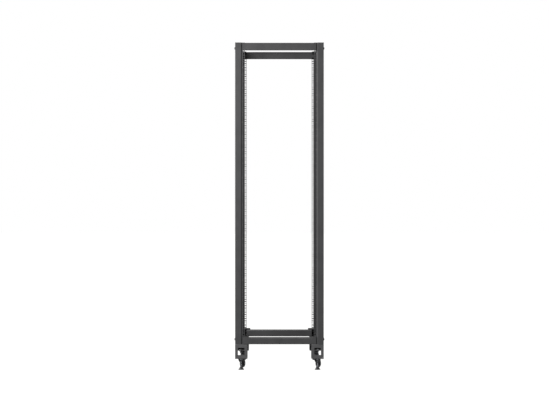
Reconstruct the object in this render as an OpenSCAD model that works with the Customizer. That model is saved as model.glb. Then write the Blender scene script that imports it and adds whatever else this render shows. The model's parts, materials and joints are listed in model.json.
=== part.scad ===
// Open-frame four-post 19-inch equipment rack on levelling feet and swivel castors.
// Millimetres. X is the width, Y the depth with the front towards -Y, Z is up.
// The origin is on the floor, in the middle of the rack's footprint.

/* [Overall] */
// Width over the outer faces of the posts
rack_w = 576; // [562:1:700]
// Depth over the faces of the front and rear posts
rack_d = 800; // [600:10:1200]
// Height of the equipment space in rack units
units = 42; // [12:1:47]

/* [Sheet metal] */
// Thickness of the posts, beams and rails
sheet = 2; // [1.5:0.1:2.5]
// Inside radius of every bend
bend_in = 1; // [0.5:0.1:1.5]

/* [Posts] */
// Depth of a post's side wall
post_d = 80; // [72:1:100]
// Width of the flange that carries the square holes
flange_w = 18; // [17:0.5:22]
// Distance from the post's face back to the flange
flange_set = 7; // [6:0.5:9]
// Width of the lip at the inner edge of the side wall
lip_w = 15; // [10:1:20]
// Thickness of the plastic end caps
cap_t = 2; // [1.5:0.5:4]

/* [Beams and side rails] */
// Height of the top beams and top rails
top_beam_h = 48.5; // [46:0.5:70]
// Depth of the folded edges of the top beams
top_return = 14; // [8:1:20]
// Height of the bottom beams and bottom rails
bottom_beam_h = 41; // [38:0.5:60]
// Depth of the bottom beams
bottom_beam_d = 100; // [92:1:104]
// Width of the inward feet along the bottom beams
beam_foot = 20; // [18:1:24]
// Width of the flanges of the side rails
rail_flange = 30; // [28:1:34]
// Width of the raised ears at the ends of the bottom beams
ear_w = 38.5; // [30:0.5:50]
// Rise of the ears over the bottom beams
ear_rise = 9.6; // [9:0.2:14]

/* [Foot brackets] */
// Height of a foot bracket
bracket_h = 95; // [80:1:120]
// Depth of a foot bracket
bracket_d = 140; // [138:1:160]
// Sheet thickness of the foot brackets
bracket_t = 2.5; // [2:0.1:3]
// How far a bracket reaches in past its post
bracket_over = 16.5; // [16:0.5:24]
// Width of the window in the front of a bracket
window_w = 43; // [30:1:50]
// Height of the window
window_h = 46.5; // [30:0.5:50]
// Height of the window's lower edge over the bracket's underside
window_rise = 25.5; // [20:0.5:28]

/* [Castors] */
// Height of a castor from its plate down to its wheel's lowest point
castor_h = 64; // [62:1:76]
// Diameter of a wheel
wheel_d = 50; // [40:1:50]
// Width of a wheel
wheel_w = 20; // [16:1:24]
// Distance from the swivel axis to the wheel's axle
castor_trail = 15; // [12:1:16]
// Distance from the post's face back to the swivel axis
castor_back = 105; // [104:1:108]
// Direction in which the wheels trail, measured from +X
castor_turn = 62; // [0:1:180]

/* [Levelling feet] */
// How far the wheels clear the floor when the rack stands on its feet
wheel_lift = 8; // [3:1:15]
// Diameter of a foot's pad
pad_d = 37; // [30:1:44]
// Height of a foot's pad
pad_h = 20; // [14:1:24]
// Diameter of a foot's threaded stud
stud_d = 10; // [8:1:12]
// Height of the top of a stud over the floor
stud_top = 125; // [112:1:132]
// Distance from the post's face back to the studs
stud_back = 30; // [26:1:34]

/* [Hidden] */

// Fixed by the 19-inch rack standard
unit_h = 44.45;
column_gap = 465.1;              // between the two columns of holes
clear_w = 450;                   // between the flanges
hole_size = 9.5;
hole_first = 6.35;               // from the lower end of a unit to its first hole
hole_pitch = 15.875;
hole_steps = [hole_first, hole_first + hole_pitch, hole_first + 2 * hole_pitch];

// Fits and small clearances
play = 0.05;                     // radial clearance of shafts and threads
gap = 1;                         // between parts that pass each other
bolt_play = 0.25;                // radial clearance of fixing bolts
rail_gap = 0.8;                  // between a beam and the first rack unit
cut = 1;                         // how far a cutting body stands out

// Fasteners
m6_r = 3;
m6_af = 10;
m6_nut_h = 5;
m6_head_h = 4;
m6_washer_r = 6.2;
m6_washer_t = 1;
m8_r = 4;
m8_af = 13;
m8_nut_h = 6.5;
m8_head_r = 7;
m8_head_h = 4.4;
m8_key_af = 5;
round_fn = 64;
hex_fn = 6;

// Heights of the frame, from the floor up
bracket_z = castor_h + wheel_lift;
post_z = bracket_z + bracket_h;
field_z = post_z + bottom_beam_h + rail_gap;
field_h = units * unit_h;
top_beam_z = field_z + field_h + rail_gap;
post_top = top_beam_z + top_beam_h;
post_len = post_top - post_z;

// Post section
post_w = (rack_w - clear_w) / 2;
face_w = post_w - flange_w - flange_set;
bend_r = bend_in + sheet;
column_u = (rack_w - column_gap) / 2;
flange_back = flange_set + sheet;

// Bracket and what hangs under it, from the corner of the footprint
bracket_w = post_w + bracket_over;
axis_u = bracket_w / 2;
stud_r = stud_d / 2;

// Places of the bolts that join rails, beams and brackets
rail_bolt_v = [22, 58];
rail_bolt_drop = 10;             // from the top of a bottom rail
rail_bolt_rise = 14.5;           // from the underside of a top rail
rail_bolt_low = post_z + bottom_beam_h - rail_bolt_drop;
rail_bolt_high = top_beam_z + rail_bolt_rise;
beam_bolt_top = [field_z + field_h + hole_first, field_z + field_h + hole_first + 2 * hole_pitch];
beam_bolt_low = [field_z - hole_first, field_z - hole_first - hole_pitch];
bracket_bolt_v = [45, 95];       // through the side rails
bracket_bolt_u = sheet + rail_flange / 2 + gap;
beam_foot_in = 7;                // from the flange's edge to the bolts in a beam's feet
beam_foot_u = post_w + beam_foot_in;
bracket_bolt_spots = [
    [bracket_bolt_u, bracket_bolt_v[0]], [bracket_bolt_u, bracket_bolt_v[1]],
    [beam_foot_u, sheet + beam_foot / 2], [beam_foot_u, bottom_beam_d - sheet - beam_foot / 2]
];
beam_half = clear_w / 2 - 2 * gap;             // half length of a beam's folded part
web_end = 5;                     // from a post's step to the end of a beam's front
web_half = rack_w / 2 - face_w - flange_set - web_end;  // half length of a beam's front

// Castor, measured down from the bracket's underside
plate_t = 2.5;
plate_size = [54, 60];
castor_bolt_x = 20;
castor_bolt_y = 24;
castor_head_h = 3.5;
race_r = 19;
race_t = 3;
race_gap = 0.3;
kingpin_r = 4;
kingpin_head_r = 6;
kingpin_head_h = 2.6;
fork_t = 2.5;
fork_side = 1.5;                 // between a wheel and its fork
fork_head_r = 20;
fork_front = 20;
fork_boss_r = 8;
fork_back = castor_trail + fork_boss_r * 0.7;
axle_r = 3;
plate_z = bracket_z - plate_t;
race_z = plate_z - race_t;
fork_top = race_z - race_gap;
fork_web_t = 5.2;
fork_under = fork_top - fork_web_t;
axle_z = wheel_lift + wheel_d / 2;
hub_r = wheel_d * 0.35;
hub_recess = 2.5;
hub_boss_r = 8;
hub_rim = 3;
hub_step = 1;                    // from a wheel's sides to its rim
tyre_step = 0.5;                 // from a wheel's sides to its tyre
tyre_round = 4;
fork_in = wheel_w / 2 + fork_side;
fork_out = fork_in + fork_t;

// Levelling foot
foot_nut_af = stud_d * 1.7;
foot_nut_h = stud_d * 0.8;
collar_h = 6;
collar_af = 14;
pad_rim = 3;
pad_neck_r = 9;
pad_neck_flare = 1;
socket_z = 6;
thread_chamfer = 1;

steel = "#4a4a4b";
bright = "#9a9b9d";
grey = "#6e6f71";
plastic = "#1d1d1e";

// Sections

// A sheet bent once, with its outer corner at the origin
module angle_2d(a, b, t) {
    r = bend_in + t;
    translate([r, 0]) square([a - r, t]);
    translate([0, r]) square([t, b - r]);
    translate([r, r])
        intersection() {
            difference() {
                circle(r = r, $fn = round_fn);
                circle(r = bend_in, $fn = round_fn);
            }
            translate([-r, -r]) square(r);
        }
}

// A channel that opens along +x, with its web along y
module channel_2d(d, h, t) {
    angle_2d(d, h / 2, t);
    translate([0, h]) mirror([0, 1]) angle_2d(d, h / 2, t);
}

// Outline of the slanted step between a post's face and its flange
module step_2d() {
    k = sheet * (sqrt(2) - 1);
    polygon([
        [face_w, 0], [face_w + flange_set, flange_set],
        [face_w + flange_set - k, flange_back], [face_w - k, sheet]
    ]);
}

module post_2d() {
    angle_2d(face_w, post_d / 2, sheet);
    translate([0, post_d]) mirror([0, 1]) angle_2d(lip_w, post_d / 2, sheet);
    step_2d();
    translate([face_w + flange_set - sheet / 2, flange_set]) square([flange_w + sheet / 2, sheet]);
}

// Placing

// Puts a part that is drawn for the front left corner at the corner with these signs
module at_corner(sx, sy) {
    mirror([sx > 0 ? 1 : 0, 0, 0])
        mirror([0, sy > 0 ? 1 : 0, 0])
            translate([-rack_w / 2, -rack_d / 2, 0]) children();
}

module at_all_corners() {
    for (sx = [-1, 1], sy = [-1, 1]) at_corner(sx, sy) children();
}

// Puts a part drawn around the swivel axis, with the wheel trailing along +X, at a corner
module at_castor(sx, sy) {
    translate([sx * (rack_w / 2 - axis_u), sy * (rack_d / 2 - castor_back), 0])
        rotate([0, 0, castor_turn]) children();
}

// Fasteners, drawn from the origin up

module hex(af, h) {
    cylinder(r = af / sqrt(3), h = h, $fn = hex_fn);
}

module nut(r, af, h) {
    difference() {
        hex(af, h);
        translate([0, 0, -cut]) cylinder(r = r + play, h = h + 2 * cut, $fn = round_fn);
    }
}

// A hexagon bolt with a washer face; the washer face is at z = 0 and the shank rises
module hex_bolt(r, af, head_h, shank) {
    cylinder(r = r, h = shank, $fn = round_fn);
    translate([0, 0, -m6_washer_t]) cylinder(r = m6_washer_r, h = m6_washer_t, $fn = round_fn);
    translate([0, 0, -head_h]) hex(af, head_h);
}

// A round-headed bolt with a hexagon socket; the head's seat is at z = 0 and the shank rises
module button_bolt(shank) {
    dome_r = m8_head_r * 1.3;
    dome_z = m8_head_r * 1.15;
    difference() {
        union() {
            cylinder(r = m8_r, h = shank, $fn = round_fn);
            translate([0, 0, -m8_head_h])
                intersection() {
                    cylinder(r = m8_head_r, h = m8_head_h, $fn = round_fn);
                    translate([0, 0, dome_z]) sphere(r = dome_r, $fn = round_fn);
                }
        }
        translate([0, 0, -m8_head_h - cut]) hex(m8_key_af, m8_head_h / 2 + cut);
    }
}

// Posts and caps

module post(sx, sy) {
    color(steel) at_corner(sx, sy) difference() {
        translate([0, 0, post_z]) linear_extrude(post_len) post_2d();
        square_holes();
        for (z = concat(beam_bolt_top, beam_bolt_low))
            translate([column_u, flange_set - cut, z])
                rotate([-90, 0, 0]) cylinder(r = m6_r + bolt_play, h = sheet + 2 * cut, $fn = round_fn);
        for (v = rail_bolt_v, z = [rail_bolt_low, rail_bolt_high])
            translate([-cut, v, z])
                rotate([0, 90, 0]) cylinder(r = m8_r + bolt_play, h = sheet + 2 * cut, $fn = round_fn);
        lip_notch(post_z - cut, bottom_beam_h + gap + cut);
        lip_notch(top_beam_z - gap, top_beam_h + gap + cut);
    }
}

module square_holes() {
    for (i = [0 : units - 1], step = hole_steps)
        translate([column_u - hole_size / 2, flange_set - cut, field_z + i * unit_h + step - hole_size / 2])
            cube([hole_size, sheet + 2 * cut, hole_size]);
}

// Takes the lip away where a side rail passes it
module lip_notch(z, h) {
    translate([sheet, post_d - bend_r - gap, z]) cube([lip_w, bend_r + gap + cut, h]);
}

module cap(sx, sy) {
    rib_t = 1.8;
    rib_h = 4;
    tail_w = 36;
    color(plastic) at_corner(sx, sy) {
        translate([0, 0, post_top]) linear_extrude(cap_t)
            polygon([
                [0, 0], [face_w, 0], [face_w + flange_set, flange_set], [post_w, flange_set],
                [post_w, flange_back + lip_w], [tail_w, post_d], [0, post_d]
            ]);
        translate([bend_r + gap, sheet + play, post_top - rib_h])
            cube([face_w - bend_r - 3 * gap, rib_t, rib_h]);
        translate([face_w + flange_set + gap, flange_back + play, post_top - rib_h])
            cube([flange_w - 3 * gap, rib_t, rib_h]);
    }
}

// Beams

module top_beam(sy) {
    color(steel) mirror([0, sy > 0 ? 1 : 0, 0]) translate([0, -rack_d / 2, 0]) {
        translate([-web_half, 0, top_beam_z + bend_r])
            cube([2 * web_half, sheet, top_beam_h - 2 * bend_r]);
        translate([-beam_half, 0, top_beam_z])
            rotate([90, 0, 90]) linear_extrude(2 * beam_half) channel_2d(top_return, top_beam_h, sheet);
        for (side = [-1, 1]) mirror([side > 0 ? 1 : 0, 0, 0])
            translate([-web_half, 0, top_beam_z])
                cube([web_half - beam_half, sheet, top_beam_h]);
    }
}

// Section of a bottom beam: a channel that opens downwards, with two inward feet
module bottom_beam_2d() {
    half = bottom_beam_d / 2;
    for (side = [0, 1])
        translate([side * bottom_beam_d, 0]) mirror([side, 0]) {
            translate([0, bottom_beam_h]) mirror([0, 1]) angle_2d(half, bottom_beam_h / 2, sheet);
            angle_2d(beam_foot + sheet, bottom_beam_h / 2, sheet);
        }
}

module bottom_beam(sy) {
    color(steel) mirror([0, sy > 0 ? 1 : 0, 0]) translate([0, -rack_d / 2, 0]) difference() {
        union() {
            translate([-beam_half, 0, post_z])
                rotate([90, 0, 90]) linear_extrude(2 * beam_half) bottom_beam_2d();
            for (side = [-1, 1]) mirror([side > 0 ? 1 : 0, 0, 0])
                translate([-web_half, 0, post_z + gap]) {
                    cube([web_half - beam_half, sheet, bottom_beam_h - gap]);
                    translate([0, 0, bottom_beam_h - gap - bend_r]) cube([ear_w, sheet, ear_rise + bend_r]);
                }
        }
        for (side = [-1, 1], v = [bracket_bolt_spots[2][1], bracket_bolt_spots[3][1]])
            translate([side * (rack_w / 2 - beam_foot_u), v, post_z - cut])
                cylinder(r = m6_r + bolt_play, h = sheet + 2 * cut, $fn = round_fn);
    }
}

// Side rails

module side_rail(sx, z, h, bolt_z) {
    start = flange_back + gap;
    length = rack_d - 2 * start;
    color(steel) mirror([sx > 0 ? 1 : 0, 0, 0]) difference() {
        translate([-rack_w / 2 + sheet, rack_d / 2 - start, z])
            rotate([90, 0, 0]) linear_extrude(length) channel_2d(rail_flange, h, sheet);
        for (end = [-1, 1], v = rail_bolt_v)
            translate([-rack_w / 2, end * (rack_d / 2 - v), bolt_z])
                rotate([0, 90, 0]) cylinder(r = m8_r + bolt_play, h = 3 * sheet, $fn = round_fn);
        if (z < field_z)
            for (end = [-1, 1], spot = [bracket_bolt_spots[0], bracket_bolt_spots[1]])
                translate([-rack_w / 2 + spot[0], end * (rack_d / 2 - spot[1]), z - cut])
                    cylinder(r = m6_r + bolt_play, h = sheet + 2 * cut, $fn = round_fn);
    }
}

// Foot brackets

module bracket(sx, sy) {
    color(steel) at_corner(sx, sy) translate([0, 0, bracket_z]) difference() {
        union() {
            rotate([90, 0, 90]) linear_extrude(bracket_w) channel_2d(bracket_d, bracket_h, bracket_t);
            for (u = [0, bracket_w - bracket_t])
                translate([u, bend_in + bracket_t, bracket_t / 2])
                    cube([bracket_t, bracket_d - bend_in - bracket_t, bracket_h - bracket_t]);
            for (u = [0, bracket_w - bracket_t])
                translate([u, bracket_t / 2, bend_in + bracket_t])
                    cube([bracket_t, bracket_d / 2, bracket_h - 2 * (bend_in + bracket_t)]);
        }
        translate([axis_u - window_w / 2, -cut, window_rise])
            cube([window_w, bracket_t + 2 * cut, window_h]);
        for (spot = bracket_bolt_spots)
            translate([spot[0], spot[1], bracket_h - bracket_t - cut])
                cylinder(r = m6_r + bolt_play, h = bracket_t + 2 * cut, $fn = round_fn);
        translate([axis_u, stud_back, -cut])
            cylinder(r = stud_r + bolt_play, h = bracket_t + 2 * cut, $fn = round_fn);
        castor_bolt_spots()
            translate([0, 0, -cut])
                cylinder(r = m6_r + bolt_play, h = bracket_t + 2 * cut, $fn = round_fn);
    }
}

// Puts a part at each of a castor's four bolts, in a bracket's own corner
module castor_bolt_spots() {
    for (x = [-1, 1], y = [-1, 1])
        translate([axis_u + x * castor_bolt_x, castor_back + y * castor_bolt_y, 0]) children();
}

// Castors

module castor_plate(sx, sy) {
    color(steel) at_corner(sx, sy) difference() {
        union() {
            translate([axis_u - plate_size[0] / 2, castor_back - plate_size[1] / 2, plate_z])
                cube([plate_size[0], plate_size[1], plate_t]);
            translate([axis_u, castor_back, race_z]) cylinder(r = race_r, h = race_t, $fn = round_fn);
        }
        translate([axis_u, castor_back, race_z - cut])
            cylinder(r = kingpin_r + play, h = race_t + plate_t + 2 * cut, $fn = round_fn);
        castor_bolt_spots()
            translate([0, 0, plate_z - cut])
                cylinder(r = m6_r + bolt_play, h = plate_t + 2 * cut, $fn = round_fn);
    }
}

// Rivet that carries the fork; its head is under the fork
module kingpins() {
    color(bright) at_all_corners() translate([axis_u, castor_back, 0]) {
        head_z = fork_under - race_gap - kingpin_head_h;
        translate([0, 0, head_z]) cylinder(r = kingpin_head_r, h = kingpin_head_h, $fn = round_fn);
        translate([0, 0, head_z]) cylinder(r = kingpin_r, h = bracket_z - head_z, $fn = round_fn);
    }
}

// Side of a fork, from its head down to the boss around the axle
module fork_side_2d() {
    difference() {
        union() {
            polygon([
                [-fork_front, fork_under], [fork_back, fork_under],
                [castor_trail + fork_boss_r, axle_z], [castor_trail - fork_boss_r, axle_z]
            ]);
            translate([castor_trail, axle_z]) circle(r = fork_boss_r, $fn = round_fn);
        }
        translate([castor_trail, axle_z]) circle(r = axle_r + play, $fn = round_fn);
    }
}

module fork(sx, sy) {
    color(steel) at_castor(sx, sy) difference() {
        union() {
            translate([0, 0, fork_under]) cylinder(r = fork_head_r, h = fork_web_t, $fn = round_fn);
            translate([-fork_front, -fork_out, fork_under])
                cube([fork_front + fork_back, 2 * fork_out, fork_t]);
            for (y = [-fork_out, fork_in])
                translate([0, y + fork_t, 0]) rotate([90, 0, 0]) linear_extrude(fork_t) fork_side_2d();
        }
        translate([0, 0, fork_under - cut])
            cylinder(r = kingpin_r + play, h = fork_web_t + 2 * cut, $fn = round_fn);
    }
}

// Puts a shape drawn along +Z on a wheel's axis
module on_axle() {
    translate([castor_trail, 0, axle_z]) rotate([90, 0, 0]) children();
}

module axle(sx, sy) {
    color(bright) at_castor(sx, sy) on_axle() {
        translate([0, 0, -fork_out]) cylinder(r = axle_r, h = 2 * fork_out, $fn = round_fn);
        translate([0, 0, -fork_out - m6_head_h]) hex(m6_af, m6_head_h);
        translate([0, 0, fork_out]) hex(m6_af, m6_nut_h);
    }
}

module hub(sx, sy) {
    half = wheel_w / 2;
    bore = axle_r + play;
    rim = hub_r - hub_rim;
    color(grey) at_castor(sx, sy) on_axle()
        rotate_extrude($fn = round_fn)
            polygon([
                [bore, -half], [hub_boss_r, -half], [hub_boss_r, -half + hub_recess],
                [rim, -half + hub_recess], [rim, -half + hub_step], [hub_r, -half + hub_step],
                [hub_r, half - hub_step], [rim, half - hub_step], [rim, half - hub_recess],
                [hub_boss_r, half - hub_recess], [hub_boss_r, half], [bore, half]
            ]);
}

module tyre(sx, sy) {
    half = wheel_w / 2 - tyre_step;
    r = wheel_d / 2;
    color(plastic) at_castor(sx, sy) on_axle()
        rotate_extrude($fn = round_fn) {
            translate([hub_r, -half]) square([r - hub_r - tyre_round, 2 * half]);
            translate([hub_r, -half + tyre_round]) square([r - hub_r, 2 * (half - tyre_round)]);
            for (y = [-half + tyre_round, half - tyre_round])
                translate([r - tyre_round, y]) circle(r = tyre_round, $fn = round_fn);
        }
}

// Levelling feet

module stud(sx, sy) {
    shank_top = stud_top - thread_chamfer;
    color(bright) at_corner(sx, sy) translate([axis_u, stud_back, 0]) {
        translate([0, 0, socket_z]) cylinder(r = stud_r, h = shank_top - socket_z, $fn = round_fn);
        translate([0, 0, shank_top])
            cylinder(r1 = stud_r, r2 = stud_r - thread_chamfer, h = thread_chamfer, $fn = round_fn);
        translate([0, 0, pad_h]) hex(collar_af, collar_h);
    }
}

// Moulded foot around the lower end of its stud
module pad(sx, sy) {
    pad_r = pad_d / 2;
    bore = stud_r + play;
    color(plastic) at_corner(sx, sy) translate([axis_u, stud_back, 0])
        rotate_extrude($fn = round_fn)
            polygon([
                [0, 0], [pad_r, 0], [pad_r, pad_rim], [pad_neck_r + pad_neck_flare, pad_h - pad_rim],
                [pad_neck_r, pad_h], [bore, pad_h], [bore, socket_z], [0, socket_z]
            ]);
}

module foot_lock_nuts() {
    color(bright) at_all_corners() translate([axis_u, stud_back, bracket_z - foot_nut_h])
        nut(stud_r, foot_nut_af, foot_nut_h);
}

module foot_weld_nuts() {
    color(steel) at_all_corners() translate([axis_u, stud_back, bracket_z + bracket_t])
        nut(stud_r, foot_nut_af, foot_nut_h);
}

// Fastener groups

// Puts a part on the outer face of a post's side wall, pointing into the rack
module at_rail_bolts() {
    at_all_corners()
        for (v = rail_bolt_v, z = [rail_bolt_low, rail_bolt_high])
            translate([0, v, z]) rotate([0, 90, 0]) children();
}

module rail_bolts() {
    color(plastic) at_rail_bolts() button_bolt(2 * sheet + m8_nut_h + gap / 2);
}

module rail_nuts() {
    color(bright) at_rail_bolts() translate([0, 0, 2 * sheet]) nut(m8_r, m8_af, m8_nut_h);
}

// Puts a part on the back of a post's flange, pointing towards the post's face
module at_beam_bolts() {
    at_all_corners()
        for (z = concat(beam_bolt_top, beam_bolt_low))
            translate([column_u, flange_back, z]) rotate([90, 0, 0]) children();
}

module beam_bolts() {
    color(plastic) at_beam_bolts() hex_bolt(m6_r, m6_af, m6_head_h, flange_back - sheet - play);
}

module beam_nuts() {
    color(bright) at_beam_bolts() translate([0, 0, sheet]) nut(m6_r, m6_af, flange_set - sheet);
}

// Puts a part under the top plate of each bracket, pointing up
module at_bracket_bolts() {
    at_all_corners()
        for (spot = bracket_bolt_spots)
            translate([spot[0], spot[1], post_z - bracket_t]) children();
}

module bracket_bolts() {
    color(plastic) at_bracket_bolts() hex_bolt(m6_r, m6_af, m6_head_h, bracket_t + sheet + m6_nut_h + gap);
}

module bracket_nuts() {
    color(bright) at_bracket_bolts() translate([0, 0, bracket_t + sheet]) nut(m6_r, m6_af, m6_nut_h);
}

module castor_bolts() {
    color(bright) at_all_corners() castor_bolt_spots() translate([0, 0, plate_z])
        hex_bolt(m6_r, m6_af, castor_head_h, plate_t + bracket_t + m6_nut_h + gap);
}

module castor_nuts() {
    color(bright) at_all_corners() castor_bolt_spots() translate([0, 0, bracket_z + bracket_t])
        nut(m6_r, m6_af, m6_nut_h);
}

// Nodes

post(-1, -1);  // front_left_post
post(1, -1);  // front_right_post
post(-1, 1);  // rear_left_post
post(1, 1);  // rear_right_post
cap(-1, -1);  // front_left_cap
cap(1, -1);  // front_right_cap
cap(-1, 1);  // rear_left_cap
cap(1, 1);  // rear_right_cap
top_beam(-1);  // front_top_beam
top_beam(1);  // rear_top_beam
bottom_beam(-1);  // front_bottom_beam
bottom_beam(1);  // rear_bottom_beam
side_rail(-1, top_beam_z, top_beam_h, rail_bolt_high);  // left_top_rail
side_rail(1, top_beam_z, top_beam_h, rail_bolt_high);  // right_top_rail
side_rail(-1, post_z, bottom_beam_h, rail_bolt_low);  // left_bottom_rail
side_rail(1, post_z, bottom_beam_h, rail_bolt_low);  // right_bottom_rail
bracket(-1, -1);  // front_left_bracket
bracket(1, -1);  // front_right_bracket
bracket(-1, 1);  // rear_left_bracket
bracket(1, 1);  // rear_right_bracket
castor_plate(-1, -1);  // front_left_castor_plate
castor_plate(1, -1);  // front_right_castor_plate
castor_plate(-1, 1);  // rear_left_castor_plate
castor_plate(1, 1);  // rear_right_castor_plate
fork(-1, -1);  // front_left_fork
fork(1, -1);  // front_right_fork
fork(-1, 1);  // rear_left_fork
fork(1, 1);  // rear_right_fork
axle(-1, -1);  // front_left_axle
axle(1, -1);  // front_right_axle
axle(-1, 1);  // rear_left_axle
axle(1, 1);  // rear_right_axle
hub(-1, -1);  // front_left_hub
hub(1, -1);  // front_right_hub
hub(-1, 1);  // rear_left_hub
hub(1, 1);  // rear_right_hub
tyre(-1, -1);  // front_left_tyre
tyre(1, -1);  // front_right_tyre
tyre(-1, 1);  // rear_left_tyre
tyre(1, 1);  // rear_right_tyre
stud(-1, -1);  // front_left_stud
stud(1, -1);  // front_right_stud
stud(-1, 1);  // rear_left_stud
stud(1, 1);  // rear_right_stud
pad(-1, -1);  // front_left_pad
pad(1, -1);  // front_right_pad
pad(-1, 1);  // rear_left_pad
pad(1, 1);  // rear_right_pad
kingpins();
foot_lock_nuts();
foot_weld_nuts();
rail_bolts();
rail_nuts();
beam_bolts();
beam_nuts();
bracket_bolts();
bracket_nuts();
castor_bolts();
castor_nuts();
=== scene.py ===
import json
import math
import bpy
from mathutils import Matrix, Vector


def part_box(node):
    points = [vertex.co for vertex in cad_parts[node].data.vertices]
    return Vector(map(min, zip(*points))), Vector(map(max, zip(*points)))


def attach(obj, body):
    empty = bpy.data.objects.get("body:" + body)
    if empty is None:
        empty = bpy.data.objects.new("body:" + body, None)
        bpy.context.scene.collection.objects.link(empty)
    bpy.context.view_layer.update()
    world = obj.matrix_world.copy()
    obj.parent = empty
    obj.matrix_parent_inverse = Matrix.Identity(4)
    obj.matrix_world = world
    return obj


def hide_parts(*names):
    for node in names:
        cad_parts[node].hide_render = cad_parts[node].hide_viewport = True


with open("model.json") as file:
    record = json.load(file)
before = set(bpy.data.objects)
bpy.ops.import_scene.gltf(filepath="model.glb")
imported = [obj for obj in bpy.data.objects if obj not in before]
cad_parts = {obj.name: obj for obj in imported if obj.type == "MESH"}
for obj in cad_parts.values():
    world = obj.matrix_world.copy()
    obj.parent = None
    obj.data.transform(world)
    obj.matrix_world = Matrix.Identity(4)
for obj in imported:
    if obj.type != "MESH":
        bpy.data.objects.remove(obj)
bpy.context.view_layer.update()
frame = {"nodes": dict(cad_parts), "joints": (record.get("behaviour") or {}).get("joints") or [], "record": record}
mm = 0.001
corners = ["front_left", "front_right", "rear_left", "rear_right"]
print("frame loaded")

# camera, lights and floor

studio = {
    "cameraAt": (-32 * mm, -12655 * mm, 1124 * mm),
    "tilt": 0.2734,               # degrees down from level
    "lens": 123.76,
    "sensor": 36,                 # millimetres across
    "farthest": 200,              # metres that the camera sees
    "floorSize": 90.0,
    "floorColours": ("#fbfbfa", "#fefefd"),
    "floorPatch": 300,            # size of the paper's pale patches in millimetres
    "floorShade": 0.2,            # how much the floor darkens where no light falls
    "floorGlow": 0.94,
    "floorRoughness": 0.9,
    "roomLight": 0.31,            # what the white room gives the object
    "sunStrength": 1.9,
    "sunSpread": 70,              # degrees, for hardly any shadow
    "sunFrom": (-0.85, -0.15, 0.5),
    "fillStrength": 1.0,          # a softer light on the right side and the back
    "fillSpread": 90,
    "fillFrom": (0.8, 0.5, 0.25),
    "lampAt": (-2.0, -2.6, 2.3),
    "lampAim": (0.0, 0.0, 0.9),
    "lampSize": 2.0,
    "lampWatts": 98,
}


def linear(hexColour):  # sRGB hex to the linear colour that a shader takes
    parts = [int(hexColour[i:i + 2], 16) / 255 for i in (1, 3, 5)]
    curved = [c / 12.92 if c <= 0.04045 else ((c + 0.055) / 1.055) ** 2.4 for c in parts]
    return tuple(curved) + (1.0,)


def addNode(tree, kind, settings=None, links=None):  # a node, its values and what feeds it
    node = tree.nodes.new(kind)
    for name, value in (settings or {}).items():
        if isinstance(name, int) or name in node.inputs:
            node.inputs[name].default_value = value
        else:
            setattr(node, name, value)
    for name, source in (links or {}).items():
        tree.links.new(source, node.inputs[name])
    return node


def newMaterial(name, **settings):  # a material with its shader, and its object coordinates in metres
    material = bpy.data.materials.new(name)
    material.use_nodes = True
    tree = material.node_tree
    tree.nodes.clear()
    shader = addNode(tree, "ShaderNodeBsdfPrincipled", settings)
    output = addNode(tree, "ShaderNodeOutputMaterial")
    tree.links.new(shader.outputs["BSDF"], output.inputs["Surface"])
    place = addNode(tree, "ShaderNodeTexCoord").outputs["Object"]
    return material, tree, shader, place


def perMm(size):  # noise scale for a feature of this size in millimetres
    return 1000 / size


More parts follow.
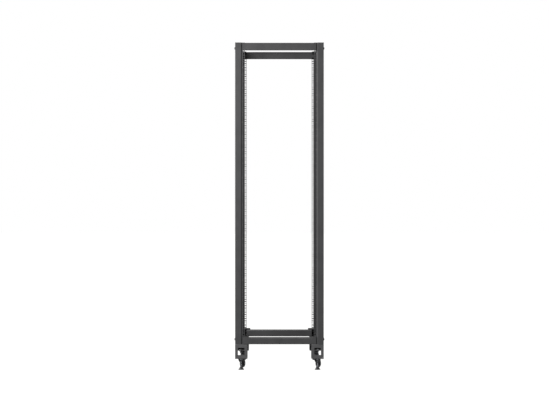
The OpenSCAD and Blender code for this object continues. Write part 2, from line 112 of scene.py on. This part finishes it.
def makeStudio():
    scene = bpy.context.scene
    camera = bpy.data.objects.new("camera", bpy.data.cameras.new("camera"))
    camera.data.lens = studio["lens"]
    camera.data.sensor_width = studio["sensor"]
    camera.data.clip_end = studio["farthest"]
    camera.location = studio["cameraAt"]
    camera.rotation_euler = (math.radians(90 - studio["tilt"]), 0, 0)
    scene.collection.objects.link(camera)
    scene.camera = camera
    scene.view_settings.view_transform = "Standard"

    world = bpy.data.worlds.new("white room")
    world.use_nodes = True
    tree = world.node_tree
    tree.nodes.clear()
    seen = addNode(tree, "ShaderNodeLightPath").outputs["Is Camera Ray"]
    level = addNode(tree, "ShaderNodeMapRange", {"To Min": studio["roomLight"], "To Max": 1.0},
                    {"Value": seen})
    room = addNode(tree, "ShaderNodeBackground", {"Color": linear("#ffffff")}, {"Strength": level.outputs[0]})
    addNode(tree, "ShaderNodeOutputWorld", None, {"Surface": room.outputs[0]})
    scene.world = world

    for name in ("sun", "fill"):
        sun = bpy.data.objects.new(name, bpy.data.lights.new(name, "SUN"))
        sun.data.energy = studio[name + "Strength"]
        sun.data.angle = math.radians(studio[name + "Spread"])
        sun.rotation_euler = Vector(studio[name + "From"]).to_track_quat("Z", "Y").to_euler()
        scene.collection.objects.link(sun)

    lamp = bpy.data.objects.new("lamp", bpy.data.lights.new("lamp", "AREA"))
    lamp.data.energy = studio["lampWatts"]
    lamp.data.size = studio["lampSize"]
    lamp.location = studio["lampAt"]
    aim = Vector(studio["lampAim"]) - lamp.location
    lamp.rotation_euler = aim.to_track_quat("-Z", "Y").to_euler()
    scene.collection.objects.link(lamp)

    bpy.ops.mesh.primitive_plane_add(size=studio["floorSize"])
    floor = bpy.context.object
    floor.name = "floor"
    material, tree, shader, place = newMaterial("white studio paper", Roughness=studio["floorRoughness"])
    patch = addNode(tree, "ShaderNodeTexNoise", {"Scale": perMm(studio["floorPatch"])}, {"Vector": place})
    dull, bright = studio["floorColours"]
    paper = addNode(tree, "ShaderNodeMix", {"data_type": "RGBA", 6: linear(dull), 7: linear(bright)},
                    {0: patch.outputs[0]})
    shade = addNode(tree, "ShaderNodeVectorMath", {"operation": "SCALE", "Scale": studio["floorShade"]},
                    {0: paper.outputs[2]})
    tree.links.new(shade.outputs[0], shader.inputs["Base Color"])
    tree.links.new(paper.outputs[2], shader.inputs["Emission Color"])
    shader.inputs["Emission Strength"].default_value = studio["floorGlow"]
    shader.inputs["Specular IOR Level"].default_value = 0
    floor.data.materials.append(material)
    onlyFloor = bpy.data.collections.new("lit by the floor")  # the floor's glow stays off the object
    onlyFloor.objects.link(floor)
    floor.light_linking.receiver_collection = onlyFloor


makeStudio()
print("studio made")

# finishes

# Each look holds two colours, the ends of its roughness, and the sizes and depths of its patches, grain and
# orange peel in millimetres. The real grain is too fine to show, so it is drawn coarser, at 0.5 mm or more.
# The drift says how far colour, roughness and bump follow the patches and the grain.

drift = {"patchDetail": 4.0, "grainDetail": 2.0, "grainShare": 0.5, "colourFrom": 0.45, "colourTo": 1.05,
         "roughFrom": 0.3, "roughTo": 0.7, "grainBump": 0.35, "peelBump": 0.3}


def coated(name, look, **settings):  # colour and roughness that drift a little, and a fine bump
    material, tree, shader, place = newMaterial(name, **settings)
    patch = addNode(tree, "ShaderNodeTexNoise",
                    {"Scale": perMm(look["patch"]), "Detail": drift["patchDetail"]}, {"Vector": place})
    grain = addNode(tree, "ShaderNodeTexNoise",
                    {"Scale": perMm(look["grain"]), "Detail": drift["grainDetail"]}, {"Vector": place})
    blend = addNode(tree, "ShaderNodeMath", {"operation": "MULTIPLY_ADD", 1: drift["grainShare"]},
                    {0: grain.outputs[0], 2: patch.outputs[0]})
    level = addNode(tree, "ShaderNodeMapRange",
                    {"From Min": drift["colourFrom"], "From Max": drift["colourTo"]},
                    {"Value": blend.outputs[0]})
    colours = {"data_type": "RGBA", 6: linear(look["dark"]), 7: linear(look["light"])}
    colour = addNode(tree, "ShaderNodeMix", colours, {0: level.outputs[0]})
    tree.links.new(colour.outputs[2], shader.inputs["Base Color"])
    low, high = look["roughness"]
    ends = {"From Min": drift["roughFrom"], "From Max": drift["roughTo"], "To Min": low, "To Max": high}
    rough = addNode(tree, "ShaderNodeMapRange", ends, {"Value": patch.outputs[0]})
    tree.links.new(rough.outputs[0], shader.inputs["Roughness"])
    bump = addNode(tree, "ShaderNodeBump",
                   {"Strength": drift["grainBump"], "Distance": look["depth"] * mm},
                   {"Height": grain.outputs[0]})
    if "peel" in look:
        peel = addNode(tree, "ShaderNodeTexVoronoi", {"feature": "SMOOTH_F1", "Scale": perMm(look["peel"])},
                       {"Vector": place})
        bump = addNode(tree, "ShaderNodeBump",
                       {"Strength": drift["peelBump"], "Distance": look["peelDepth"] * mm},
                       {"Height": peel.outputs[0], "Normal": bump.outputs[0]})
    tree.links.new(bump.outputs[0], shader.inputs["Normal"])
    return material


# Polyester powder coat, sprayed and baked: an even dark grey with a satin gloss and a faint orange peel
powderCoat = coated("satin black powder coat", {
    "dark": "#414142", "light": "#484849", "roughness": (0.40, 0.52), "patch": 60,
    "grain": 0.9, "depth": 0.02, "peel": 3.2, "peelDepth": 0.03}, IOR=1.5)
# The frame's powder coat on the foot brackets, with the same satin and orange peel, painted a little lighter than
# the frame's as painted light for the light they catch
paintedLightBracketCoat = coated("frame powder coat lightened as painted light", {
    "dark": "#525253", "light": "#5c5c5d", "roughness": (0.38, 0.50), "patch": 60,
    "grain": 0.9, "depth": 0.02, "peel": 3.2, "peelDepth": 0.03}, IOR=1.5)
# Moulded polypropylene: dull black with a fine spark-eroded grain
darkPlastic = coated("black moulded polypropylene", {
    "dark": "#1f1f20", "light": "#28282a", "roughness": (0.42, 0.56), "patch": 60,
    "grain": 0.7, "depth": 0.03}, IOR=1.49)
# Black oxide on steel screws: a thin dark skin over metal, uneven where it is thin
blackOxide = coated("black oxide steel", {
    "dark": "#1c1c1e", "light": "#2a2a2c", "roughness": (0.34, 0.50), "patch": 9,
    "grain": 0.6, "depth": 0.01}, Metallic=0.75)
# Zinc plate on steel: bright grey metal with cloudy patches
zincPlate = coated("zinc plated steel", {
    "dark": "#a9abae", "light": "#cfd1d3", "roughness": (0.26, 0.42), "patch": 11,
    "grain": 0.5, "depth": 0.008}, Metallic=1.0)
# Passivated zinc on the feet and axles: a duller, greyer metal
greyZinc = coated("dark passivated zinc", {
    "dark": "#8a8c8f", "light": "#acaeb1", "roughness": (0.30, 0.46), "patch": 9,
    "grain": 0.5, "depth": 0.008}, Metallic=1.0)
# Black lacquer on pressed castor steel: darker and glossier than the frame
castorLacquer = coated("black lacquered steel", {
    "dark": "#2e2e30", "light": "#3b3b3d", "roughness": (0.28, 0.42), "patch": 18,
    "grain": 1.1, "depth": 0.012}, IOR=1.5)
# Moulded nylon wheel centre: mid grey, slightly waxy
nylon = coated("grey moulded nylon", {
    "dark": "#6e7073", "light": "#7b7d80", "roughness": (0.40, 0.55), "patch": 14,
    "grain": 0.8, "depth": 0.02}, IOR=1.53)
# Thermoplastic rubber tread: nearly black and dull
rubber = coated("black tread rubber", {
    "dark": "#1c1c1d", "light": "#29292b", "roughness": (0.55, 0.75), "patch": 8,
    "grain": 1.3, "depth": 0.05}, IOR=1.52)
# Screen printed ink: pale grey and matt
ink = coated("pale screen ink", {
    "dark": "#b4b4b2", "light": "#c8c8c6", "roughness": (0.5, 0.6), "patch": 20,
    "grain": 0.5, "depth": 0.004}, IOR=1.5)
print("finishes made")

# mesh tools


def bodyOf(node):  # the body that a CAD node rides on
    return next(body for body, nodes in frame["record"]["behaviour"]["bodies"].items() if node in nodes)


def lathe(profile, steps, closed=False):  # rings of (radius, height) round z; a zero radius makes a tip
    verts, faces, rings = [], [], []
    for r, z in profile:
        if r == 0:
            rings.append([len(verts)] * steps)
            verts.append(Vector((0, 0, z)))
        else:
            rings.append(list(range(len(verts), len(verts) + steps)))
            turns = [math.tau * i / steps for i in range(steps)]
            verts += [Vector((r * math.cos(a), r * math.sin(a), z)) for a in turns]
    pairs = list(zip(rings, rings[1:])) + ([(rings[-1], rings[0])] if closed else [])
    for low, high in pairs:
        for i in range(steps):
            j = (i + 1) % steps
            ring = [low[i], low[j], high[j], high[i]]
            face = [v for k, v in enumerate(ring) if v not in ring[:k]]
            if len(face) > 2:
                faces.append(face)
    return verts, faces


def arc(centreR, centreZ, radius, start, end, steps):  # profile points round a corner, in degrees
    turns = [math.radians(start + (end - start) * i / steps) for i in range(steps + 1)]
    return [(centreR + radius * math.cos(a), centreZ + radius * math.sin(a)) for a in turns]


def hexRadius(acrossFlats, angle):  # distance from the centre to a hexagon's side
    third = math.radians(60)
    return acrossFlats / 2 / math.cos((angle + third / 2) % third - third / 2)


# faceShare is a share of half the flats and lead of the bore; a thread's depth is a share of its pitch
hexShape = {"faceShare": 0.97, "chamfer": 30, "lead": 0.08, "steps": 72}
threadShape = {"depth": 0.55, "crest": 1.25, "endDepth": 1.2, "rowsPerTurn": 6, "fewestRows": 4}


def hexBody(acrossFlats, low, high, bore=0.0, chamferTop=True):
    # hexagon with the round chamfers of a turned nut or head, and a bore if it has one
    steps = hexShape["steps"]
    circle = acrossFlats / 2 * hexShape["faceShare"]
    slope = math.tan(math.radians(hexShape["chamfer"]))
    verts, faces, rings = [], [], []

    def addRing(radii, heights):
        rings.append(list(range(len(verts), len(verts) + steps)))
        for i, (r, z) in enumerate(zip(radii, heights)):
            a = math.tau * i / steps
            verts.append(Vector((r * math.cos(a), r * math.sin(a), z)))

    sides = [hexRadius(acrossFlats, math.tau * i / steps) for i in range(steps)]
    drops = [max(0.0, r - circle) * slope for r in sides]
    addRing([circle] * steps, [low] * steps)
    addRing(sides, [low + drop for drop in drops])
    if chamferTop:
        addRing(sides, [high - drop for drop in drops])
        addRing([circle] * steps, [high] * steps)
    else:
        addRing(sides, [high] * steps)
    if bore > 0:
        lead = bore * hexShape["lead"]
        for r, z in ((bore + lead, high), (bore, high - lead), (bore, low + lead), (bore + lead, low)):
            addRing([r] * steps, [z] * steps)
        rings.append(rings[0])
    for a, b in zip(rings, rings[1:]):
        faces += [[a[i], a[(i + 1) % steps], b[(i + 1) % steps], b[i]] for i in range(steps)]
    if bore <= 0:
        faces += [list(reversed(rings[0])), rings[-1]]
    return verts, faces


def thread(size, low, high):  # a screw thread with chamfered ends
    verts, faces = [], []
    radius, pitch, steps = size["radius"], size["pitch"], size["threadSteps"]
    depth = pitch * threadShape["depth"]
    rows = max(threadShape["fewestRows"], int((high - low) / pitch * threadShape["rowsPerTurn"]))
    for row in range(rows + 1):
        z = low + (high - low) * row / rows
        toEnd = min(z - low, high - z)
        for i in range(steps):
            phase = ((z - low) / pitch - i / steps) % 1.0
            dent = 1 - abs(2 * phase - 1) * threadShape["crest"]
            r = radius - depth * min(1.0, max(0.0, dent))
            r = min(r, radius - depth * threadShape["endDepth"] + toEnd)
            a = math.tau * i / steps
            verts.append(Vector((r * math.cos(a), r * math.sin(a), z)))
    for row in range(rows):
        base, above = row * steps, (row + 1) * steps
        for i in range(steps):
            j = (i + 1) % steps
            faces.append([base + i, base + j, above + j, above + i])
    faces.append(list(reversed(range(steps))))
    faces.append(list(range(rows * steps, (rows + 1) * steps)))
    return verts, faces


def joined(*parts):  # several (vertices, faces) as one
    verts, faces = [], []
    for partVerts, partFaces in parts:
        start = len(verts)
        verts += partVerts
        faces += [[start + v for v in face] for face in partFaces]
    return verts, faces


def moved(part, matrix):  # the same part in another place
    verts, faces = part
    return [matrix @ v for v in verts], faces


sharpAngle = 32  # degrees; edges steeper than this are shown sharp


def piece(name, part, material, body, replaced=()):
    verts, faces = part
    mesh = bpy.data.meshes.new(name)
    mesh.from_pydata([tuple(v) for v in verts], [], faces)
    mesh.validate()
    mesh.shade_smooth()
    mesh.set_sharp_from_angle(angle=math.radians(sharpAngle))
    mesh.materials.append(material)
    made = bpy.data.objects.new(name, mesh)
    bpy.context.scene.collection.objects.link(made)
    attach(made, body)
    if replaced:
        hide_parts(*replaced)


def solidBoxes(node):  # the box of each separate solid in a CAD node
    mesh = frame["nodes"][node].data
    key = {}
    ids = [key.setdefault(tuple(round(c, 6) for c in v.co), len(key)) for v in mesh.vertices]
    parent = list(range(len(key)))

    def top(i):
        while parent[i] != i:
            parent[i] = parent[parent[i]]
            i = parent[i]
        return i

    for face in mesh.polygons:
        first = top(ids[face.vertices[0]])
        for v in face.vertices[1:]:
            parent[top(ids[v])] = first
    groups = {}
    for place, i in key.items():
        groups.setdefault(top(i), []).append(place)
    boxes = []
    for points in groups.values():
        low = Vector([min(p[k] for p in points) for k in range(3)])
        high = Vector([max(p[k] for p in points) for k in range(3)])
        boxes.append((low, high))
    return sorted(boxes, key=lambda b: tuple(round(c, 4) for c in b[0]))


def alongAxis(box, axis, sign):  # matrix that stands a part, drawn up +z, at the box's starting end
    low, high = box
    start = (low + high) / 2
    start[axis] = low[axis] if sign > 0 else high[axis]
    direction = Vector([sign if k == axis else 0 for k in range(3)])
    return Matrix.Translation(start) @ direction.to_track_quat("Z", "Y").to_matrix().to_4x4()


# screws and nuts

m6 = {"radius": 3 * mm, "pitch": 1 * mm, "threadSteps": 24, "flats": 10 * mm, "headHigh": 4 * mm,
      "lowHead": 3.5 * mm, "nutHigh": 5 * mm, "washer": 6.2 * mm, "washerThick": 1 * mm,
      "washerEdge": 0.3 * mm}
m8 = {"radius": 4 * mm, "pitch": 1.25 * mm, "threadSteps": 24, "flats": 13 * mm, "head": 7 * mm,
      "headHigh": 4.4 * mm, "key": 5 * mm, "socketDeep": 0.55, "domeShare": 0.86, "domeFrom": 34,
      "domeStep": 8}
m10 = {"radius": 5 * mm, "pitch": 1.5 * mm, "threadSteps": 32, "flats": 17 * mm, "collar": 14 * mm}
roundSteps = 48
boreEase = 1.01  # a nut's bore over its screw's radius


def hexBolt(size, headHigh, length):  # head, pressed washer face and thread, head first
    under = headHigh - size["washerThick"]
    rim, edge = size["washer"], size["washerEdge"]
    washer = [(0, under), (rim - edge, under), (rim, under + edge), (rim, headHigh), (0, headHigh)]
    return joined(
        hexBody(size["flats"], 0, under, chamferTop=False),
        lathe(washer, roundSteps),
        thread(size, headHigh, length),
    )


def buttonBolt(size, length):  # domed head with a hexagon socket, head first
    r, h, key = size["head"], size["headHigh"], size["key"]
    turns = [math.radians(a) for a in range(size["domeFrom"], 91, size["domeStep"])]
    rise = h * size["domeShare"]
    dome = [(r * math.sin(a), rise * (1 - math.cos(a) / math.cos(turns[0]))) for a in turns]
    verts, faces = lathe(dome + [(r, h), (0, h)], roundSteps)
    rim = []
    for depth in (dome[0][1], h * size["socketDeep"]):
        rim.append(len(verts))
        for i in range(roundSteps):
            a = math.tau * i / roundSteps
            wide = hexRadius(key, a)
            verts.append(Vector((wide * math.cos(a), wide * math.sin(a), depth)))
    for i in range(roundSteps):
        j = (i + 1) % roundSteps
        faces.append([i, rim[0] + i, rim[0] + j, j])
        faces.append([rim[0] + i, rim[1] + i, rim[1] + j, rim[0] + j])
    faces.append(list(range(rim[1], rim[1] + roundSteps)))
    return joined((verts, faces), thread(size, h, length))


def nut(size, length):
    return hexBody(size["flats"], 0, length, size["radius"] * boreEase)


def inward(axis):  # a bolt's head is at the outside, so it points to the middle along this axis
    return lambda box: 1 if box[0][axis] < 0 else -1


def outward(axis):
    return lambda box: -1 if box[0][axis] < 0 else 1


def upward(box):
    return 1


def boltGroup(node, make, material, axis, signOf):
    parts = []
    for box in solidBoxes(node):
        length = box[1][axis] - box[0][axis]
        parts.append(moved(make(length), alongAxis(box, axis, signOf(box))))
    piece(node + "_made", joined(*parts), material, bodyOf(node), [node])


boltGroup("rail_bolts", lambda length: buttonBolt(m8, length), blackOxide, 0, inward(0))
boltGroup("beam_bolts", lambda length: hexBolt(m6, m6["headHigh"], length),
          blackOxide, 1, outward(1))
boltGroup("bracket_bolts", lambda length: hexBolt(m6, m6["headHigh"], length),
          blackOxide, 2, upward)
boltGroup("castor_bolts", lambda length: hexBolt(m6, m6["lowHead"], length), zincPlate, 2, upward)
for node, size, axis, material, slot in [
        ("rail_nuts", m8, 0, zincPlate, "zinc"), ("beam_nuts", m6, 1, zincPlate, "zinc"),
        ("bracket_nuts", m6, 2, zincPlate, "zinc"), ("castor_nuts", m6, 2, zincPlate, "zinc"),
        ("foot_lock_nuts", m10, 2, greyZinc, "zinc"), ("foot_weld_nuts", m10, 2, powderCoat, "powder_coat")]:
    boltGroup(node, lambda length, size=size: nut(size, length), material, axis, upward)
print("screws made")

# levelling feet

foot = {"neck": 9 * mm, "neckFlare": 1 * mm, "rim": 3 * mm, "edge": 1.2 * mm, "socket": 6 * mm,
        "play": 0.1 * mm, "hollow": 0.6 * mm, "hollowFrom": 0.76, "hollowTo": 0.72, "bow": 0.9 * mm,
        "flankSteps": 9, "padSteps": 64, "shankSteps": 32, "collarHigh": 6 * mm}


def footPad(node):  # hollowed sole, rounded rim, a flank that bows in, and the socket for the stud
    low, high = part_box(node)
    r, h = (high.x - low.x) / 2, high.z - low.z
    neck, rim, edge, hollow = foot["neck"], foot["rim"], foot["edge"], foot["hollow"]
    bore = m10["radius"] + foot["play"]
    outline = [(0, hollow), (r * foot["hollowTo"], hollow), (r * foot["hollowFrom"], 0), (r - edge, 0)]
    outline += arc(r - edge, edge, edge, -90, 0, 4) + arc(r - edge, rim, edge, 0, 60, 3)
    wide, narrow = r - edge * 2, neck + foot["neckFlare"]
    for i in range(1, foot["flankSteps"]):
        t = i / foot["flankSteps"]
        bow = foot["bow"] * math.sin(math.pi * t)
        outline.append((wide + (narrow - wide) * t - bow, rim + edge + (h - 2 * rim - edge) * t))
    outline += [(neck, h - rim)] + arc(neck - edge, h - edge, edge, 0, 90, 4)
    outline += [(bore, h), (bore, foot["socket"]), (0, foot["socket"])]
    centre = Vector(((low.x + high.x) / 2, (low.y + high.y) / 2, low.z))
    return moved(lathe(outline, foot["padSteps"]), Matrix.Translation(centre))


def footStud(node, padTop):  # plain end in the pad, hexagon collar and screw
    low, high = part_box(node)
    centre = Vector(((low.x + high.x) / 2, (low.y + high.y) / 2, 0))
    r, collarTop = m10["radius"], padTop + foot["collarHigh"]
    shank = lathe([(0, low.z), (r, low.z), (r, padTop), (0, padTop)], foot["shankSteps"])
    collar = hexBody(m10["collar"], padTop, collarTop)
    return moved(joined(shank, collar, thread(m10, collarTop, high.z)), Matrix.Translation(centre))


for corner in corners:
    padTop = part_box(corner + "_pad")[1].z
    for kind, part, material, slot in [
            ("_pad", footPad(corner + "_pad"), darkPlastic, "pad_plastic"),
            ("_stud", footStud(corner + "_stud", padTop), greyZinc, "zinc")]:
        piece(corner + kind + "_made", part, material, bodyOf(corner + kind), [corner + kind])
print("feet made")

# castor wheels, drawn with the axle along z

wheel = {"radius": 25 * mm, "width": 20 * mm, "hub": 17.5 * mm, "boss": 8 * mm, "bore": 3.05 * mm,
         "web": 3.5 * mm, "rim": 3 * mm, "step": 1 * mm, "soft": 0.8 * mm, "lead": 0.4 * mm, "steps": 96}
tread = {"inset": 0.5 * mm, "round": 4 * mm, "grooveFrom": 1.6 * mm, "grooveTo": 2.4 * mm,
         "grooveDeep": 0.4 * mm, "partingHalf": 0.5 * mm, "partingDeep": 0.25 * mm}
spokes = {"count": 6, "wide": 1.1 * mm, "rootWider": 1.3, "inBoss": 0.6 * mm, "inRim": 0.4 * mm,
          "inWeb": 0.6, "below": 2 * mm}
axleEnds = {"fork": 4 * mm, "chamfer": 0.5 * mm, "chamferHigh": 0.4 * mm, "nutBore": 3.02 * mm, "steps": 32}


def tyrePart():  # grooves beside the hub, round shoulders and the mould's parting line
    r, half, inner, bend = wheel["radius"], wheel["width"] / 2 - tread["inset"], wheel["hub"], tread["round"]
    near, far, deep, line = tread["grooveFrom"], tread["grooveTo"], tread["grooveDeep"], tread["partingHalf"]
    middle = (near + far) / 2
    groove = [(inner, half), (inner + near, half), (inner + middle, half - deep), (inner + far, half)]
    profile = [(x, -z) for x, z in groove] + arc(r - bend, -half + bend, bend, -90, 0, 8)
    profile += [(r, -line), (r - tread["partingDeep"], 0), (r, line)]
    profile += arc(r - bend, half - bend, bend, 0, 90, 8) + list(reversed(groove))
    return lathe(profile, wheel["steps"], closed=True)


def spoke(angle, side):  # a rib from the boss to the rim, on one side of the web
    base, top = wheel["web"] / 2 * spokes["inWeb"], wheel["width"] / 2 - spokes["below"]
    inner = wheel["boss"] - spokes["inBoss"]
    outer = wheel["hub"] - wheel["rim"] + spokes["inRim"]
    wide, root = spokes["wide"], spokes["wide"] * spokes["rootWider"]
    verts = []
    for r in (inner, outer):
        verts += [Vector((r, -root, base)), Vector((r, root, base))]
        verts += [Vector((r, wide, top)), Vector((r, -wide, top))]
    faces = [[0, 3, 2, 1], [4, 5, 6, 7], [0, 1, 5, 4], [1, 2, 6, 5], [2, 3, 7, 6], [3, 0, 4, 7]]
    turn = Matrix.Rotation(angle, 4, "Z")
    if side < 0:
        turn = turn @ Matrix.Rotation(math.pi, 4, "X")
    return moved((verts, faces), turn)


def hubPart():  # boss, web, rim and ribs on both sides
    half, web, rim = wheel["width"] / 2, wheel["web"] / 2, wheel["hub"] - wheel["rim"]
    outer, boss, bore, soft = wheel["hub"], wheel["boss"], wheel["bore"], wheel["soft"]
    lead, step = wheel["lead"], wheel["step"]
    upper = [(bore, half - lead), (bore + lead, half), (boss - soft, half)]
    upper += arc(boss - soft, half - soft, soft, 90, 0, 4)
    upper += [(boss, web + soft), (boss + soft, web), (rim - soft, web), (rim, web + soft)]
    upper += [(rim, half - step - lead), (rim + lead, half - step), (outer, half - step)]
    lower = [(r, -z) for r, z in reversed(upper)]
    angles = [math.tau * i / spokes["count"] for i in range(spokes["count"])]
    ribs = [spoke(angle, side) for angle in angles for side in (1, -1)]
    return joined(lathe(list(reversed(upper + lower)), wheel["steps"], closed=True), *ribs)


def axleMatrix(corner):  # stands a part drawn up z on the wheel's own axle
    roll = next(j for j in frame["joints"] if j["name"] == corner + "_roll")
    turn = Vector(roll["axis"]).to_track_quat("Z", "Y").to_matrix().to_4x4()
    return Matrix.Translation(Vector(roll["pos_m"])) @ turn


def axlePart():  # bolt head, shank and nut outside the fork
    reach = wheel["width"] / 2 + axleEnds["fork"]
    r, tip = m6["radius"], reach + m6["nutHigh"]
    head = hexBody(m6["flats"], 0, m6["headHigh"])
    shank = [(0, -reach), (r, -reach), (r, tip - axleEnds["chamferHigh"]), (r - axleEnds["chamfer"], tip),
             (0, tip)]
    lockNut = hexBody(m6["flats"], 0, m6["nutHigh"], axleEnds["nutBore"])
    return joined(
        moved(head, Matrix.Translation((0, 0, -reach - m6["headHigh"]))),
        lathe(shank, axleEnds["steps"]),
        moved(lockNut, Matrix.Translation((0, 0, reach))),
    )


for corner in corners:
    onAxle = axleMatrix(corner)
    for kind, part, material, slot in [
            ("_tyre", tyrePart(), rubber, "wheel_rubber"), ("_hub", hubPart(), nylon, "wheel_nylon"),
            ("_axle", axlePart(), greyZinc, "zinc")]:
        part = moved(part, onAxle)
        piece(corner + kind + "_made", part, material, bodyOf(corner + kind), [corner + kind])
print("wheels made")

# printed unit numbers beside the square holes

numbers = {"units": 42, "unitHeight": 44.45 * mm, "fieldBottom": 208.8 * mm, "high": 4.2 * mm,
           "thick": 0.03 * mm, "centreX": 240.2 * mm, "flangeSet": 7 * mm, "tick": (3.6 * mm, 0.35 * mm)}


def digits(text):  # the number as a flat mesh in the XY plane
    curve = bpy.data.curves.new("digits", "FONT")
    curve.body = text
    curve.size = numbers["high"]
    curve.align_x = "CENTER"
    curve.align_y = "CENTER"
    curve.resolution_u = 2
    curve.extrude = numbers["thick"]
    holder = bpy.data.objects.new("digits", curve)
    bpy.context.scene.collection.objects.link(holder)
    shaped = holder.evaluated_get(bpy.context.evaluated_depsgraph_get())
    flat = bpy.data.meshes.new_from_object(shaped)
    part = ([v.co.copy() for v in flat.vertices], [list(p.vertices) for p in flat.polygons])
    bpy.data.objects.remove(holder)
    bpy.data.curves.remove(curve)
    bpy.data.meshes.remove(flat)
    return part


def tick():  # the short line between two units
    wide, tall = numbers["tick"]
    thick = numbers["thick"]
    spots = [(x, y) for x in (-wide / 2, wide / 2) for y in (-tall / 2, tall / 2)]
    verts = [Vector((x, y, z)) for z in (-thick, thick) for x, y in spots]
    return verts, [[0, 1, 3, 2], [4, 6, 7, 5], [0, 4, 5, 1], [1, 5, 7, 3], [3, 7, 6, 2], [2, 6, 4, 0]]


def unitNumbers(corner):
    sideX = -1 if "left" in corner else 1
    sideY = -1 if "front" in corner else 1
    low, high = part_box(corner + "_post")
    face = (low.y if sideY < 0 else high.y) - sideY * numbers["flangeSet"]  # the set-back flange's outside
    turn = Matrix.Rotation(math.radians(90), 4, "X")
    if sideY > 0:
        turn = Matrix.Rotation(math.pi, 4, "Z") @ turn
    x, y = sideX * numbers["centreX"], face + sideY * numbers["thick"]
    half = numbers["unitHeight"] / 2
    parts = []
    for unit in range(1, numbers["units"] + 1):
        z = numbers["fieldBottom"] + (unit - 0.5) * numbers["unitHeight"]
        parts.append(moved(digits(str(unit)), Matrix.Translation((x, y, z)) @ turn))
        parts.append(moved(tick(), Matrix.Translation((x, y, z + half)) @ turn))
    return joined(*parts)


for corner in corners:
    piece(corner + "_unit_numbers", unitNumbers(corner), ink, "frame")
print("numbers made")

# finishes of the sheet metal that keeps its shape

softEdge = {"width": 0.35 * mm, "segments": 2, "angle": 35, "weld": 0.002 * mm}


def finishNode(node, material, soften=True):  # its material, and a small radius on its sharp edges
    shown = frame["nodes"][node]
    shown.data.materials.clear()
    shown.data.materials.append(material)
    if soften:
        weld = shown.modifiers.new("weld", "WELD")
        weld.merge_threshold = softEdge["weld"]
        bevel = shown.modifiers.new("soft edge", "BEVEL")
        bevel.width = softEdge["width"]
        bevel.segments = softEdge["segments"]
        bevel.limit_method = "ANGLE"
        bevel.angle_limit = math.radians(softEdge["angle"])
        bevel.harden_normals = True
        bevel.use_clamp_overlap = True


for name, shown in frame["nodes"].items():
    if shown.hide_render:
        continue
    if name.endswith("_cap"):
        finishNode(name, darkPlastic)
    elif name.endswith(("_fork", "_castor_plate")):
        finishNode(name, castorLacquer)
    elif name == "kingpins":
        finishNode(name, zincPlate)
    # the foot brackets take the lighter copy of the frame coat: painted light
    elif name.endswith("_bracket"):
        finishNode(name, paintedLightBracketCoat)
    else:
        finishNode(name, powderCoat, soften=not name.endswith("_post"))
print("sheet metal finished")
